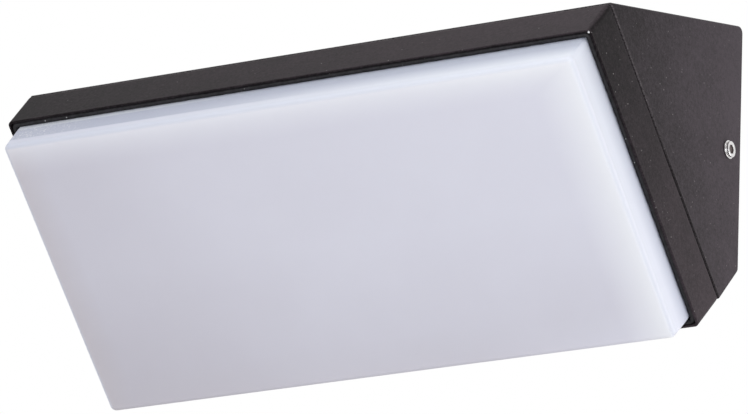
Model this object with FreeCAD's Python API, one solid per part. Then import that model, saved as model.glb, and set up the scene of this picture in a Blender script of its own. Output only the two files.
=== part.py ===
import FreeCAD, Part
import math
import os

# Outdoor wall light: a wedge-shaped cast housing hangs on a wall bracket. Its slanted front
# carries a cast frame with an opal diffuser, and light falls forwards and down.
# Millimetres. The origin is on the wall, midway between the bracket's two fixing slots and level
# with the side screws. +Z is up, +X is to the right seen from the front, and -Y leaves the wall.

V = FreeCAD.Vector

# Shape of the light from the side
width = 251.0                 # left to right
seam_height = 124.6           # slanted joint between housing and frame, along the slope
slant_deg = 46.0              # lean of that joint from upright
roof_fall_deg = 13.5          # slope of the housing's top, down towards the front
sole_length = 21.0            # housing's underside, square to the slanted joint
screw_below_top = 52.3        # side screws, down from the top back corner
screw_from_wall = 11.4        # side screws, out from the wall

# Housing casting
wall = 3.2                    # thickness of roof, sole and sides
back_round = 2.6              # top back and bottom back corners, seen from the side
side_round = 1.0              # edges between the sides and the rest
seam_round = 0.6              # housing's lip at the seam
lip_depth = 4.0               # bar under the roof along the back rim, front to back
boss_radius = 4.0
boss_length = 10.0
earth_boss_up = -15.0         # earth boss, up the slope from the middle
hole_spare = 1.5              # a boss's hole is deeper than its screw by this much

# Wall seal, a strip bonded to the housing's back rim
seal_thickness = 0.6
seal_width = 1.3
seal_margin = 0.2             # rim left bare on each side of the strip

# Front frame
frame_depth = 20.8
frame_draft = 0.4             # each side comes in by this much over the depth
frame_corner = 2.0
frame_rear_round = 1.3        # frame's lip at the seam
groove_width = 0.6            # groove between the two lips
groove_depth = 1.5
frame_land = 2.6              # front face of the frame's wall
frame_front_round = 0.4
flange_width = 14.0           # from the outside of the frame to the opening in its base
flange_thickness = 3.0
flange_corner = 3.0

# Diffuser
diffuser_stand = 13.8         # how far it stands in front of the frame
diffuser_draft = 0.45         # each side comes in by this much over that distance
diffuser_wall = 2.2
diffuser_face = 2.5
diffuser_corner = 2.4
diffuser_inner_corner = 1.0
diffuser_front_round = 1.8
bond_gap = 0.3                # between the frame's wall and the diffuser
bond_bed = 0.4                # under the diffuser's foot
bond_recess = 0.15            # bead's surface, below the frame's front face
channel_width = 1.6           # channel for the bead in the top of the frame's wall
channel_depth = 3.0
channel_corner = 1.0

# Gear plate, gasket and the screws that clamp them
plate_thickness = 2.0
plate_gap = 0.3               # plate's edge to the housing's wall
plate_corner = 2.0
gasket_thickness = 0.5
frame_screw_inset = 9.5       # from the outside of the frame
frame_screw_length = 10.0
frame_screw_shares = (-1, -1 / 3, 1 / 3, 1)

# Light source
pad_thickness = 0.5
board_gap = 3.0               # light source's edge to the opening in the frame's base
board_thickness = 1.6
board_corner = 2.0
board_screw_inset = 6.0
board_screw_length = 5.0
board_screw_shares = (-1, 0, 1)
led_columns = 12
led_rows = 4
led_inset_x = 14.5            # board's end to the middle of the nearest package
led_inset_s = 13.5            # board's long edge to the middle of the nearest package
led_length = 3.5
led_height = 2.8
led_thickness = 0.7

# Screws: shank radius, head radius and head height of each thread size
m3_shank, m3_head, m3_head_height = 1.5, 2.75, 2.0
m4_shank, m4_head, m4_head_height = 2.0, 4.0, 2.4
m25_shank, m25_head, m25_head_height = 1.25, 2.2, 1.5
screw_clearance = 0.05        # all round a shank in its hole
recess_depth_share = 0.6      # of the head's height
recess_length_share = 1.2     # of the head's radius
recess_width_share = 0.24     # of the head's radius

# Driver on the back of the gear plate
driver_length = 85.0
driver_to_hole = 20.0         # driver's output end to the middle of the lead hole
driver_roof_gap = 7.3         # driver's upper back edge to the roof's inner face, along the slope
driver_height = 38.0
driver_depth = 24.0
driver_wall = 1.6
driver_round = 1.2
driver_fit = 0.15             # cover's rim and board to the case
lug_length = 8.0
lug_height = 12.0
lug_thickness = 2.5
driver_screw_length = 4.4
post_height = 3.0
post_radius = 2.2
post_inset = 5.0
driver_board_thickness = 1.2
transformer_length = 18.0
transformer_height = 16.0
transformer_depth = 12.0
bobbin_depth = 3.0
capacitor_radius = 4.5
capacitor_length = 13.0
capacitor_pitch = 11.0
capacitor_round = 0.8

# Leads and what they go through
lead_radius = 1.2             # mains leads
fine_lead_radius = 0.8        # leads to the light source
fine_lead_bend = 4.8
fine_lead_pitch = 3.4
lead_grip = 3.0               # how far a lead reaches into the driver
arc_share = 0.45              # of the shorter run, taken up by a bend in a mains lead
live_offset = 9.0             # live and neutral, each side of the driver's middle
live_run, neutral_run = 16.0, 25.0          # how far each runs on from the driver before it turns
live_rise, live_reach = 17.5, 42.0          # top of the bow over the block, and how far out it starts
neutral_rise, neutral_reach = 13.5, 38.0
earth_rise, earth_reach = 17.5, 26.0
earth_run = 30.0              # earth lead along the housing before it turns up
earth_bow_out, earth_bow_up = 30.0, 6.0     # its turning point, out from the wall and up
grommet_neck = 4.2
grommet_flange = 5.4
grommet_flange_thickness = 1.2
grommet_room = 0.6            # board and pad stay clear of the grommet
lead_loop_height = 10.0       # fine leads over the board
connector_inset = 8.0         # board's end to the connector's middle
connector_distance = 15.0     # from the lead hole to the connector's entries
connector_length = 8.0
connector_width = 6.0
connector_height = 4.2
connector_entry_depth = 1.5

# Earth connection
lug_plate = 0.8
lug_ring_radius = 3.8
barrel_radius = 1.6
barrel_length = 6.0
barrel_gap = 1.0              # from the ring's edge to the barrel
tongue_reach = 1.0            # how far the flat tongue runs along the barrel
earth_screw_length = 8.0

# Wall bracket
strap = 1.5
strap_height = 32.0
ear_depth = 16.0
ear_height = 24.0
ear_gap = 0.3                 # ear to the housing's side wall
bend_inside = 1.5
slot_spacing = 170.0
slot_radius = 2.4
slot_length = 16.0
cable_hole_radius = 7.0

# Cable grommet in the bracket
cable_bore = 4.0
cable_flange = 9.5
cable_flange_thickness = 2.0
cable_nose = 3.0              # tapered nose in front of the flange
cable_nose_wall = 1.2
cable_fit = 0.05

# Terminal block
block_middle = -45.0          # left of the bracket's middle
block_length = 30.0
block_height = 17.0
block_depth = 16.0
block_round = 0.8
pole_pitch = 9.0
contact_radius = 2.6
contact_wall = 1.2
contact_inset = 1.0           # contact's end, below the block's face
contact_fit = 0.05
clamp_spacing = 8.0           # between the two clamp screws of a pole
clamp_radius = 1.5
clamp_sunk = 1.0              # clamp screw's head below the block's front
clamp_slot_width = 0.6
clamp_slot_depth = 0.8
fixing_head_sunk = 0.8
lead_in = 5.0                 # how far a lead reaches into the terminal block

# Side screws and what holds them
side_shank = 2.0
side_shank_length = 10.0
side_head = 3.0
side_head_height = 1.0
side_head_round = 0.3
socket_across = 3.3
socket_depth = 0.9
washer_radius = 3.5
washer_thickness = 0.8
washer_split = 0.5
nut_across = 7.0
nut_height = 3.2

# How far a cut runs past the face that it opens, and how far apart counts as the same place
overrun = 1.0
tiny = 1e-6

# Values that follow from the sizes
slant = math.radians(slant_deg)
roof_fall = math.radians(roof_fall_deg)
half_width = width / 2
half_seam = seam_height / 2
rim = seal_thickness                                   # housing's back rim, out from the wall
roof_length = (seam_height * math.sin(slant) + sole_length * math.cos(slant)) / math.cos(roof_fall)
top_back = (rim, screw_below_top)
top_front = (rim + roof_length * math.cos(roof_fall), screw_below_top - roof_length * math.sin(roof_fall))
bottom_front = (top_front[0] - seam_height * math.sin(slant), top_front[1] - seam_height * math.cos(slant))
bottom_back = (rim, bottom_front[1] + sole_length * math.sin(slant))
seam_middle = ((top_front[0] + bottom_front[0]) / 2, (top_front[1] + bottom_front[1]) / 2)

# On the slope, x runs left to right, s runs up the slope, and n leaves the seam towards the front.
slope = FreeCAD.Placement(V(0, -seam_middle[0], seam_middle[1]), FreeCAD.Rotation(V(1, 0, 0), 90 + slant_deg))
roof_gain = math.tan(slant - roof_fall)                # roof's rise up the slope per unit forwards
inside_x = half_width - wall
inside_low = wall - half_seam
inside_high = half_seam - wall / math.cos(slant - roof_fall)

plate_front = -gasket_thickness
plate_back = plate_front - plate_thickness
board_back = plate_front + pad_thickness
board_front = board_back + board_thickness
frame_inside_x = half_width - frame_draft - frame_land
frame_inside_s = half_seam - frame_draft - frame_land
diffuser_x = frame_inside_x - bond_gap
diffuser_s = frame_inside_s - bond_gap
diffuser_foot = flange_thickness + bond_bed
diffuser_front = frame_depth + diffuser_stand
frame_screw_x = half_width - frame_screw_inset
frame_screw_s = half_seam - frame_screw_inset

board_length = width - 2 * (flange_width + board_gap)
board_height = seam_height - 2 * (flange_width + board_gap)
connector_x = board_length / 2 - connector_inset
lead_hole_x = connector_x - connector_distance
driver_right = lead_hole_x - driver_to_hole
driver_left = driver_right - driver_length
driver_base = plate_back - driver_wall                 # inner face of the case's floor
driver_back = plate_back - driver_depth
driver_middle = inside_high + driver_back * roof_gain - driver_roof_gap - driver_height / 2
driver_board_back = driver_base - post_height - driver_board_thickness
earth_boss_x = -(inside_x - boss_radius)
boss_back = plate_back - boss_length

ear_outside = inside_x - ear_gap
ear_inside = ear_outside - strap
pole_out = strap + block_depth / 2


def block(low, high):
    """Box between its lowest and highest corner."""
    return Part.makeBox(high[0] - low[0], high[1] - low[1], high[2] - low[2], V(*low))


def rod(radius, start, end):
    """Round bar from one point to another."""
    first, last = V(*start), V(*end)
    return Part.makeCylinder(radius, first.distanceToPoint(last), first, last - first)


def fused(pieces):
    """One solid from pieces that overlap."""
    return pieces[0].multiFuse(pieces[1:]).removeSplitter()


def on_slope(shape):
    """Carry a shape from the slope's own directions to its place on the wall."""
    shape.Placement = slope.multiply(shape.Placement)
    return shape


def from_slope(x, s, n):
    """A point given on the slope, in the directions of the wall."""
    return slope.multVec(V(x, s, n))


def facing(shape, place, direction):
    """Stand a piece that was made upright at a place, with its top towards a direction."""
    shape.Placement = FreeCAD.Placement(V(*place), FreeCAD.Rotation(V(0, 0, 1), V(*direction)))
    return shape


def corner_arc(before, corner, after, radius):
    """Arc of a radius that rounds one corner, as its edge and its two ends."""
    back = (before - corner).normalize()
    ahead = (after - corner).normalize()
    half_angle = back.getAngle(ahead) / 2
    first = corner + back * (radius / math.tan(half_angle))
    last = corner + ahead * (radius / math.tan(half_angle))
    middle = corner + (back + ahead).normalize() * (radius / math.sin(half_angle) - radius)
    return Part.Arc(first, middle, last).toShape(), first, last


def rounded_polygon(points, radii):
    """Closed outline through points, each corner rounded by its radius, or sharp at zero."""
    edges, ends = [], []
    count = len(points)
    for index, (corner, radius) in enumerate(zip(points, radii)):
        if radius:
            arc, first, last = corner_arc(points[index - 1], corner, points[(index + 1) % count], radius)
            edges.append(arc)
            ends.append((first, last))
        else:
            edges.append(None)
            ends.append((corner, corner))
    outline = []
    for index in range(count):
        if edges[index]:
            outline.append(edges[index])
        outline.append(Part.LineSegment(ends[index][1], ends[(index + 1) % count][0]).toShape())
    return Part.Wire(outline)


def rounded_rectangle(half_x, low_s, high_s, radius, n):
    """Outline of a rectangle with round corners, flat at height n."""
    corners = [V(half_x, low_s, n), V(half_x, high_s, n), V(-half_x, high_s, n), V(-half_x, low_s, n)]
    return rounded_polygon(corners, [radius] * len(corners))


def rounded_plate(half_x, low_s, high_s, radius, low_n, high_n):
    """Plate with round corners between two heights."""
    outline = rounded_rectangle(half_x, low_s, high_s, radius, low_n)
    return Part.Face(outline).extrude(V(0, 0, high_n - low_n))


def hexagon(across, low_n, high_n):
    """Upright hexagonal bar, by its size across flats."""
    radius = across / math.sqrt(3)
    points = [V(radius * math.cos(math.radians(60 * turn)), radius * math.sin(math.radians(60 * turn)), low_n)
              for turn in range(6)]
    return Part.Face(Part.makePolygon(points + points[:1])).extrude(V(0, 0, high_n - low_n))


def pan_screw(shank, length, head, head_height):
    """Upright screw whose head rests on height zero, with a cross recess in its top."""
    body = rod(shank, (0, 0, -length), (0, 0, 0)).fuse(rod(head, (0, 0, 0), (0, 0, head_height)))
    rim_edges = [edge for edge in body.Edges
                 if abs(edge.BoundBox.ZMin - head_height) < tiny and edge.Length > head]
    body = body.makeFillet(head_height / 2, rim_edges)
    reach = head * recess_length_share / 2
    half = head * recess_width_share / 2
    floor = head_height * (1 - recess_depth_share)
    top = head_height + overrun
    body = body.cut(block((-reach, -half, floor), (reach, half, top)))
    return body.cut(block((-half, -reach, floor), (half, reach, top)))


def wire_between(points, radius, bend=0):
    """Insulated wire along straight runs joined by tangent arcs, and the radius of each arc."""
    edges, radii = [], []
    start = points[0]
    for before, corner, after in zip(points, points[1:], points[2:]):
        half_turn = (corner - before).getAngle(after - corner) / 2
        shorter = min(before.distanceToPoint(corner), corner.distanceToPoint(after))
        arc_radius = bend or arc_share * shorter / math.tan(half_turn)
        arc, first, last = corner_arc(before, corner, after, arc_radius)
        edges += [Part.LineSegment(start, first).toShape(), arc]
        radii.append(round(arc_radius, 1))
        start = last
    edges.append(Part.LineSegment(start, points[-1]).toShape())
    path = Part.Wire(edges)
    section = Part.Wire(Part.Circle(points[0], points[1] - points[0], radius).toShape())
    tube = path.makePipeShell([section], True, False)
    print("wire radii", radii, "volume over section times length",
          round(tube.Volume / (math.pi * radius ** 2 * path.Length), 4))
    return tube


def side_points(outline):
    """Points given as distance out from the wall and height, on the housing's left side."""
    return [V(-half_width, -out, height) for out, height in outline]


def housing_body():
    """The wedge as a full solid with its edges rounded."""
    corners = side_points([top_back, top_front, bottom_front, bottom_back])
    outline = rounded_polygon(corners, [back_round, 0, 0, back_round])
    body = Part.Face(outline).extrude(V(width, 0, 0))
    seam_normal = slope.Rotation.multVec(V(0, 0, 1))

    def on_seam(edge):
        return all(abs((vertex.Point - slope.Base).dot(seam_normal)) < tiny for vertex in edge.Vertexes)

    side_edges = [edge for edge in body.Edges if edge.BoundBox.XLength < tiny and not on_seam(edge)]
    body = body.makeFillet(side_round, side_edges)
    return body.makeFillet(seam_round, [edge for edge in body.Edges if on_seam(edge)])


def seal_range():
    """Lowest and highest edge of the wall seal, on the flat part of the back rim."""
    top_angle = math.pi / 2 - roof_fall
    bottom_angle = math.pi / 2 + slant
    low = bottom_back[1] + back_round / math.tan(bottom_angle / 2) + seal_margin
    high = top_back[1] - back_round / math.tan(top_angle / 2) - seal_margin
    return low, high


def housing_cavity():
    """Space inside the walls, open at the back and at the slanted front."""
    roof_drop = wall / math.cos(roof_fall)
    sole_rise = wall / math.cos(slant)
    opening_top = seal_range()[1] - seal_width - seal_margin
    lip_front = rim + lip_depth

    def roof_inside(out):
        return top_back[1] - roof_drop - (out - rim) * math.tan(roof_fall)

    def sole_inside(out):
        return bottom_back[1] + sole_rise - (out - rim) * math.tan(slant)

    def past_seam(s):
        point = from_slope(0, s, overrun)
        return -point.y, point.z

    front_top = past_seam(inside_high + overrun * roof_gain)
    front_bottom = past_seam(inside_low)
    outline = [
        (rim - overrun, opening_top), (lip_front, opening_top), (lip_front, roof_inside(lip_front)),
        front_top, front_bottom, (rim, sole_inside(rim)), (rim - overrun, sole_inside(rim)),
    ]
    points = [V(-inside_x, -out, height) for out, height in outline]
    return Part.Face(Part.makePolygon(points + points[:1])).extrude(V(2 * inside_x, 0, 0))


def frame_screw_places():
    """Places of the frame screws on the slope."""
    return [(share * frame_screw_x, side * frame_screw_s)
            for side in (-1, 1) for share in frame_screw_shares]


def bosses():
    """Columns inside the housing that carry the gear plate and take screws."""
    pieces = []
    for x, s in frame_screw_places():
        pieces.append(rod(boss_radius, (x, s, boss_back), (x, s, plate_back)))
        wall_s = math.copysign(half_seam, s)
        pieces.append(block((x - boss_radius, min(s, wall_s), boss_back),
                            (x + boss_radius, max(s, wall_s), plate_back)))
        if abs(x) + boss_radius * 2 > inside_x:
            wall_x = math.copysign(half_width, x)
            pieces.append(block((min(x, wall_x), s - boss_radius, boss_back),
                                (max(x, wall_x), s + boss_radius, plate_back)))
    pieces.append(rod(boss_radius, (earth_boss_x, earth_boss_up, boss_back),
                      (earth_boss_x, earth_boss_up, plate_back)))
    pieces.append(block((-half_width, earth_boss_up - boss_radius, boss_back),
                        (earth_boss_x, earth_boss_up + boss_radius, plate_back)))
    return on_slope(fused(pieces))


def housing():
    """Cast wedge: roof, sole and two sides, a bar along the top of the back rim, and bosses."""
    body = housing_body()
    shell = body.cut(housing_cavity()).fuse(body.common(bosses()))
    hole = m3_shank + screw_clearance
    hole_end = flange_thickness - frame_screw_length - hole_spare
    cuts = [on_slope(rod(hole, (x, s, hole_end), (x, s, plate_back + overrun)))
            for x, s in frame_screw_places()]
    earth_depth = earth_screw_length - lug_plate + hole_spare
    cuts.append(on_slope(rod(m4_shank + screw_clearance,
                             (earth_boss_x, earth_boss_up, boss_back - overrun),
                             (earth_boss_x, earth_boss_up, boss_back + earth_depth))))
    past_side = half_width + overrun
    cuts.append(rod(side_shank + screw_clearance,
                    (-past_side, -screw_from_wall, 0), (past_side, -screw_from_wall, 0)))
    for cut in cuts:
        shell = shell.cut(cut)
    return shell.removeSplitter()


def wall_seal():
    """Strip bonded to the back rim that meets the wall."""
    low, high = seal_range()
    outer_x = half_width - side_round - seal_margin
    outer = block((-outer_x, -rim, low), (outer_x, 0, high))
    inner_x = outer_x - seal_width
    return outer.cut(block((-inner_x, -rim - overrun, low + seal_width),
                           (inner_x, overrun, high - seal_width)))


def bead_outline():
    """Half width, lower edge, upper edge and corner of the channel for the bead."""
    s = frame_inside_s + channel_width
    return frame_inside_x + channel_width, -s, s, channel_corner


def front_frame():
    """Cast frame: a tapered wall, with a channel in its top, on a flat base with an opening."""
    rear = rounded_rectangle(half_width, -half_seam, half_seam, frame_corner, groove_width)
    front_x, front_s = half_width - frame_draft, half_seam - frame_draft
    front = rounded_rectangle(front_x, -front_s, front_s, frame_corner, frame_depth)
    body = Part.makeLoft([rear, front], True, True)
    rear_edges = [edge for edge in body.Edges if edge.BoundBox.ZMax < groove_width + tiny]
    body = body.makeFillet(frame_rear_round, rear_edges)
    front_edges = [edge for edge in body.Edges if edge.BoundBox.ZMin > frame_depth - tiny]
    body = body.makeFillet(frame_front_round, front_edges)
    foot_x, foot_s = half_width - groove_depth, half_seam - groove_depth
    body = fused([body, rounded_plate(foot_x, -foot_s, foot_s, frame_corner, 0, flange_thickness)])
    corner = diffuser_corner + bond_gap
    body = body.cut(rounded_plate(frame_inside_x, -frame_inside_s, frame_inside_s, corner,
                                  flange_thickness, frame_depth + overrun))
    body = body.cut(rounded_plate(*bead_outline(), frame_depth - channel_depth, frame_depth + overrun))
    opening_x, opening_s = half_width - flange_width, half_seam - flange_width
    body = body.cut(rounded_plate(opening_x, -opening_s, opening_s, flange_corner,
                                  -overrun, flange_thickness + overrun))
    for x, s in frame_screw_places():
        body = body.cut(rod(m3_shank + screw_clearance, (x, s, -overrun), (x, s, flange_thickness + overrun)))
    return body


def diffuser_shape(inset, corner, foot, front):
    """Tray form, straight inside the frame and tapered in front of it, moved in by an inset."""
    x, s = diffuser_x - inset, diffuser_s - inset
    slope_in = diffuser_draft / diffuser_stand * (front - frame_depth)
    straight = rounded_plate(x, -s, s, corner, foot, frame_depth)
    low = rounded_rectangle(x, -s, s, corner, frame_depth)
    high = rounded_rectangle(x - slope_in, -s + slope_in, s - slope_in, corner, front)
    return straight.fuse(Part.makeLoft([low, high], True, True)).removeSplitter()


def diffuser():
    """Opal tray with a flat face and rounded front edges."""
    body = diffuser_shape(0, diffuser_corner, diffuser_foot, diffuser_front)
    front_edges = [edge for edge in body.Edges if edge.BoundBox.ZMin > diffuser_front - tiny]
    body = body.makeFillet(diffuser_front_round, front_edges)
    inside = diffuser_shape(diffuser_wall, diffuser_inner_corner, diffuser_foot - overrun,
                            diffuser_front - diffuser_face)
    return body.cut(inside)


def diffuser_sealant():
    """Bead under the diffuser's foot, up the gap beside it and out into the channel."""
    top = frame_depth - bond_recess
    bead = rounded_plate(frame_inside_x, -frame_inside_s, frame_inside_s, diffuser_corner + bond_gap,
                         flange_thickness, top)
    bead = bead.fuse(rounded_plate(*bead_outline(), frame_depth - channel_depth, top)).removeSplitter()
    bead = bead.cut(rounded_plate(diffuser_x, -diffuser_s, diffuser_s, diffuser_corner,
                                  diffuser_foot, top + overrun))
    inner_x, inner_s = diffuser_x - diffuser_wall, diffuser_s - diffuser_wall
    return bead.cut(rounded_plate(inner_x, -inner_s, inner_s, diffuser_inner_corner,
                                  flange_thickness - overrun, top + overrun))


def plate_outline():
    """Half width, lower edge and upper edge of the gear plate inside the housing's walls."""
    low = inside_low + plate_gap
    high = inside_high + plate_back * roof_gain - plate_gap
    return inside_x - plate_gap, low, high


def frame_gasket():
    """Flat gasket between gear plate and frame."""
    half_x, low, high = plate_outline()
    ring = rounded_plate(half_x, low, high, plate_corner, plate_front, 0)
    opening_x, opening_s = half_width - flange_width, half_seam - flange_width
    ring = ring.cut(rounded_plate(opening_x, -opening_s, opening_s, flange_corner,
                                  plate_front - overrun, overrun))
    for x, s in frame_screw_places():
        ring = ring.cut(rod(m3_shank + screw_clearance, (x, s, plate_front - overrun), (x, s, overrun)))
    return ring


def board_screw_places():
    """Places of the screws that hold the light source to the gear plate."""
    reach_x = board_length / 2 - board_screw_inset
    reach_s = board_height / 2 - board_screw_inset
    return [(share * reach_x, side * reach_s) for side in (-1, 1) for share in board_screw_shares]


def driver_screw_places():
    """Places of the driver's two screws, in the middle of its lugs."""
    return [(driver_left - lug_length / 2, driver_middle), (driver_right + lug_length / 2, driver_middle)]


def gear_plate():
    """Aluminium plate on the housing's bosses that carries the light source and the driver."""
    half_x, low, high = plate_outline()
    plate = rounded_plate(half_x, low, high, plate_corner, plate_back, plate_front)
    screws = frame_screw_places() + board_screw_places() + driver_screw_places()
    for x, s in screws:
        plate = plate.cut(rod(m3_shank + screw_clearance, (x, s, plate_back - overrun), (x, s, overrun)))
    return plate.cut(rod(grommet_neck + screw_clearance, (lead_hole_x, driver_middle, plate_back - overrun),
                         (lead_hole_x, driver_middle, overrun)))


def frame_screws():
    """Screws from the frame's base through gasket and plate into the housing."""
    return [facing(pan_screw(m3_shank, frame_screw_length, m3_head, m3_head_height),
                   (x, s, flange_thickness), (0, 0, 1)) for x, s in frame_screw_places()]


def flat_on_plate(low_n, high_n):
    """Sheet of the light source's size, pierced for its screws and for the leads."""
    sheet = rounded_plate(board_length / 2, -board_height / 2, board_height / 2, board_corner, low_n, high_n)
    for x, s in board_screw_places():
        sheet = sheet.cut(rod(m3_shank + screw_clearance, (x, s, low_n - overrun), (x, s, high_n + overrun)))
    return sheet.cut(rod(grommet_flange + grommet_room, (lead_hole_x, driver_middle, low_n - overrun),
                         (lead_hole_x, driver_middle, high_n + overrun)))


def led_packages():
    """Rows of light-emitting packages on the board."""
    pieces = []
    first_x, first_s = led_inset_x - board_length / 2, led_inset_s - board_height / 2
    pitch_x, pitch_s = -2 * first_x / (led_columns - 1), -2 * first_s / (led_rows - 1)
    for column in range(led_columns):
        for row in range(led_rows):
            x = first_x + column * pitch_x
            s = first_s + row * pitch_s
            pieces.append(block((x - led_length / 2, s - led_height / 2, board_front),
                                (x + led_length / 2, s + led_height / 2, board_front + led_thickness)))
    return pieces


def board_screws():
    """Screws that hold the light source flat on the plate."""
    return [facing(pan_screw(m3_shank, board_screw_length, m3_head, m3_head_height),
                   (x, s, board_front), (0, 0, 1)) for x, s in board_screw_places()]


def fine_lead_places():
    """Where the two fine leads lie, up the slope."""
    return driver_middle + fine_lead_pitch / 2, driver_middle - fine_lead_pitch / 2


def board_connector():
    """Push-in connector on the board with one entry for each fine lead."""
    top = board_front + connector_height
    left, right = connector_x - connector_length / 2, connector_x + connector_length / 2
    body = block((left, driver_middle - connector_width / 2, board_front),
                 (right, driver_middle + connector_width / 2, top))
    for s in fine_lead_places():
        body = body.cut(rod(fine_lead_radius + screw_clearance, (connector_x, s, top - connector_entry_depth),
                            (connector_x, s, top + overrun)))
    return body


def lead_grommet():
    """Bush in the plate's hole that guides both fine leads."""
    place = (lead_hole_x, driver_middle)
    body = fused([
        rod(grommet_neck, (*place, plate_back - grommet_flange_thickness),
            (*place, plate_front + grommet_flange_thickness)),
        rod(grommet_flange, (*place, plate_back - grommet_flange_thickness), (*place, plate_back)),
        rod(grommet_flange, (*place, plate_front), (*place, plate_front + grommet_flange_thickness)),
    ])
    for s in fine_lead_places():
        body = body.cut(rod(fine_lead_radius + screw_clearance,
                            (lead_hole_x, s, plate_back - grommet_flange_thickness - overrun),
                            (lead_hole_x, s, plate_front + grommet_flange_thickness + overrun)))
    return body


def fine_lead(s):
    """Lead from the driver, through the plate and over the board to the connector."""
    low = driver_board_back - fine_lead_radius
    high = board_front + lead_loop_height
    entry = board_front + connector_height - connector_entry_depth
    points = [V(driver_right - lead_grip, s, low), V(lead_hole_x, s, low), V(lead_hole_x, s, high),
              V(connector_x, s, high), V(connector_x, s, entry)]
    return on_slope(wire_between(points, fine_lead_radius, fine_lead_bend))


def driver_span(inset):
    """Corners of the driver's outline, moved in by an inset: left, right, low and high."""
    return (driver_left + inset, driver_right - inset,
            driver_middle - driver_height / 2 + inset, driver_middle + driver_height / 2 - inset)


def mains_lead_places():
    """Where the live and the neutral lead leave the driver, up the slope."""
    return driver_middle + live_offset, driver_middle - live_offset


def driver_post_places():
    """Places of the four posts that carry the driver's board."""
    left, right, low, high = driver_span(driver_wall + post_inset)
    return [(x, s) for x in (left, right) for s in (low, high)]


def driver_case():
    """Open case with a lug at each end, posts inside and holes for the leads."""
    left, right, low, high = driver_span(0)
    body = block((left, low, driver_back + driver_wall), (right, high, plate_back))
    upright = [edge for edge in body.Edges if edge.BoundBox.ZLength > driver_wall]
    body = body.makeFillet(driver_round, upright)
    left, right, low, high = driver_span(driver_wall)
    body = body.cut(block((left, low, driver_back - overrun), (right, high, driver_base)))
    pieces = [body]
    for x, s in driver_post_places():
        pieces.append(rod(post_radius, (x, s, driver_base - post_height), (x, s, plate_back)))
    for x, s in driver_screw_places():
        inwards = math.copysign(1, driver_left + driver_length / 2 - x)
        outer_end = x - inwards * lug_length / 2
        inner_end = x + inwards * (lug_length / 2 + driver_wall)
        pieces.append(block((min(outer_end, inner_end), s - lug_height / 2, plate_back - lug_thickness),
                            (max(outer_end, inner_end), s + lug_height / 2, plate_back)))
    body = fused(pieces)
    for x, s in driver_screw_places():
        body = body.cut(rod(m3_shank + screw_clearance, (x, s, plate_back - lug_thickness - overrun),
                            (x, s, plate_back + overrun)))
    for s in mains_lead_places():
        n = driver_board_back - lead_radius
        body = body.cut(rod(lead_radius + screw_clearance, (driver_left - overrun, s, n),
                            (driver_left + driver_wall + overrun, s, n)))
    for s in fine_lead_places():
        n = driver_board_back - fine_lead_radius
        body = body.cut(rod(fine_lead_radius + screw_clearance, (driver_right - driver_wall - overrun, s, n),
                            (driver_right + overrun, s, n)))
    return body


def driver_cover():
    """Lid on the back of the driver, with a rim that sits inside the case."""
    left, right, low, high = driver_span(0)
    lid = block((left, low, driver_back), (right, high, driver_back + driver_wall))
    upright = [edge for edge in lid.Edges if edge.BoundBox.ZLength > driver_wall / 2]
    lid = lid.makeFillet(driver_round, upright)
    left, right, low, high = driver_span(driver_wall + driver_fit)
    top = driver_back + 2 * driver_wall
    collar = block((left, low, driver_back), (right, high, top))
    left, right, low, high = driver_span(2 * driver_wall)
    hollow = block((left, low, driver_back + driver_wall), (right, high, top + overrun))
    return fused([lid, collar]).cut(hollow)


def driver_board():
    """Circuit board on the posts."""
    left, right, low, high = driver_span(driver_wall + driver_fit)
    return block((left, low, driver_board_back), (right, high, driver_base - post_height))


def driver_transformer():
    """Transformer: a ferrite block around a wound bobbin, near the middle of the board."""
    middle = (driver_left + driver_right) / 2
    left, right = middle - transformer_length / 2, middle + transformer_length / 2
    low, high = driver_middle - transformer_height / 2, driver_middle + transformer_height / 2
    end = driver_board_back - transformer_depth
    core = block((left, low, end), (right, high, driver_board_back))
    window = block((left - overrun, low - overrun, end + bobbin_depth),
                   (right + overrun, high + overrun, driver_board_back - bobbin_depth))
    waist = block((left + bobbin_depth, low - bobbin_depth / 2, end + bobbin_depth),
                  (right - bobbin_depth, high + bobbin_depth / 2, driver_board_back - bobbin_depth))
    return fused([core.cut(window), waist])


def driver_capacitors():
    """Three capacitors standing on the board between the transformer and the output end."""
    pieces = []
    end = driver_board_back - capacitor_length
    x = driver_right - post_inset * 2 - capacitor_radius - driver_wall
    for place in (-1, 0, 1):
        s = driver_middle + place * capacitor_pitch
        can = rod(capacitor_radius, (x, s, end), (x, s, driver_board_back))
        end_edges = [edge for edge in can.Edges if edge.BoundBox.ZMax < end + tiny]
        pieces.append(can.makeFillet(capacitor_round, end_edges))
    return pieces


def driver_screws():
    """Screws that hold the driver's lugs to the plate."""
    return [facing(pan_screw(m3_shank, driver_screw_length, m3_head, m3_head_height),
                   (x, s, plate_back - lug_thickness), (0, 0, -1)) for x, s in driver_screw_places()]


def pole_places():
    """Where the poles stand along the wall: live, neutral and earth, from the right."""
    return [block_middle + step * pole_pitch for step in (1, 0, -1)]


def mains_lead(s, run, pole_x, rise, reach):
    """Lead from the driver, back towards the wall and down into its pole."""
    n = driver_board_back - lead_radius
    start = from_slope(driver_left + lead_grip, s, n)
    turn = from_slope(driver_left - run, s, n)
    top = block_height / 2 + rise
    return wire_between([start, turn, V(pole_x, -reach, top), V(pole_x, -pole_out, top),
                         V(pole_x, -pole_out, block_height / 2 - lead_in)], lead_radius)


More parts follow.
